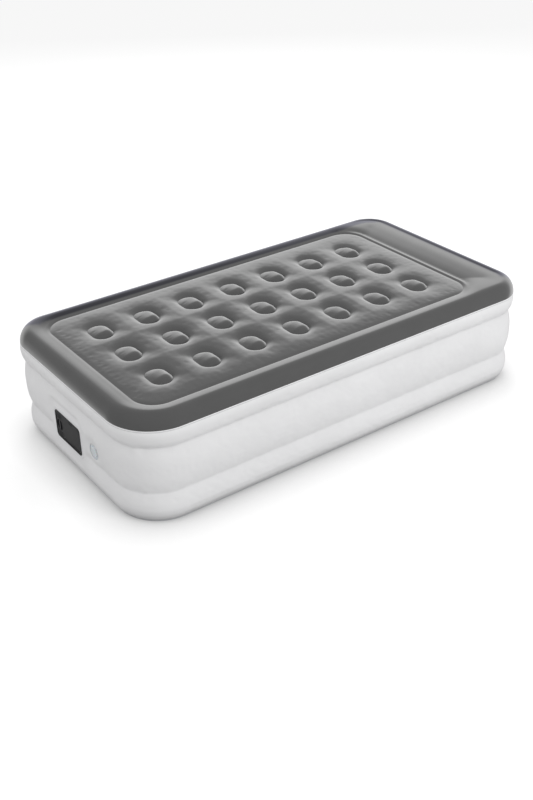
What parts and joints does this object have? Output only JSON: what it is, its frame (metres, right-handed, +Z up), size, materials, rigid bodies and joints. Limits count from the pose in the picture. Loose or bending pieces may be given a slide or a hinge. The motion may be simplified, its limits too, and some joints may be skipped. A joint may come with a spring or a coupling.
{
  "type": "air mattress",
  "caption": "Raised single air mattress with a flocked, dimpled sleeping surface, banded side wall, built-in mains pump and a capped hand valve.",
  "frame": {"origin": "centre of the footprint on the floor", "axes": "+X along the length, away from the pump end; +Y across the width; +Z up"},
  "size_m": [1.91, 0.99, 0.46],
  "materials": {
    "flocked_top": "grey flocked velvet on soft sheet",
    "white_sheet": "satin white coated sheet",
    "floor_sheet": "matt coated sheet",
    "inner_web": "thin clear-white coated sheet",
    "black_moulding": "fine moulded grain",
    "dial_moulding": "fine moulded grain",
    "fan_moulding": "smooth moulded",
    "valve_moulding": "smooth, slightly clear moulding",
    "soft_rubber": "matt",
    "motor_steel": "plain",
    "blade_brass": "plain"
  },
  "bodies": {
    "mattress": {"air_duct": "fan_moulding", "bottom_sheet": "floor_sheet", "case_gasket": "soft_rubber", "case_screws": "motor_steel", "coil_beams": "inner_web", "cord_clamp": "black_moulding", "diverter_sleeve": "dial_moulding", "door_pin": "motor_steel", "fan_cover": "fan_moulding", "fan_housing": "fan_moulding", "flap_pin": "motor_steel", "floor_seam": "white_sheet", "lower_belt": "inner_web", "motor_can": "motor_steel", "motor_cradle": "fan_moulding", "motor_end_cap": "motor_steel", "motor_magnets": "motor_steel", "perimeter_beam": "inner_web", "plug_blades": "blade_brass", "plug_body": "soft_rubber", "power_cord": "soft_rubber", "pump_face": "black_moulding", "pump_flange": "white_sheet", "rear_case": "black_moulding", "rim_seam": "white_sheet", "side_wall": "white_sheet", "switch_block": "dial_moulding", "top_sheet": "flocked_top", "upper_belt": "inner_web", "valve_base": "valve_moulding"},
    "cord_door": {"cord_door": "black_moulding"},
    "dial": {"dial_knob": "dial_moulding", "dial_shaft": "dial_moulding", "diverter_drum": "dial_moulding"},
    "fan_rotor": {"impeller": "fan_moulding", "motor_shaft": "motor_steel", "motor_rotor": "motor_steel"},
    "outlet_flap": {"check_flap": "soft_rubber"},
    "valve_cap": {"valve_cap": "valve_moulding"},
    "valve_membrane": {"valve_membrane": "soft_rubber"}
  },
  "joints": [
    {"name": "cord_door_hinge", "type": "hinge", "parent": "mattress", "child": "cord_door", "pos_m": [-0.94975, 0.0175, 0.126], "axis": [0, -1, 0], "range_deg": [0, 110]},
    {"name": "dial_turn", "type": "hinge", "parent": "mattress", "child": "dial", "pos_m": [-0.951, 0.108, 0.172], "axis": [1, 0, 0], "range_deg": [-90, 90]},
    {"name": "fan_spin", "type": "hinge", "parent": "mattress", "child": "fan_rotor", "pos_m": [-0.901, 0.012, 0.172], "axis": [1, 0, 0], "continuous": true},
    {"name": "outlet_flap_hinge", "type": "hinge", "parent": "mattress", "child": "outlet_flap", "pos_m": [-0.838, 0.108, 0.195], "axis": [0, -1, 0], "range_deg": [0, 40]},
    {"name": "valve_cap_hinge", "type": "hinge", "parent": "mattress", "child": "valve_cap", "pos_m": [-0.9477, -0.187, 0.188], "axis": [0, 0, 1], "range_deg": [0, 130]},
    {"name": "valve_membrane_lift", "type": "slide", "parent": "mattress", "child": "valve_membrane", "axis": [1, 0, 0], "range_m": [0, 0.0025]}
  ]
}
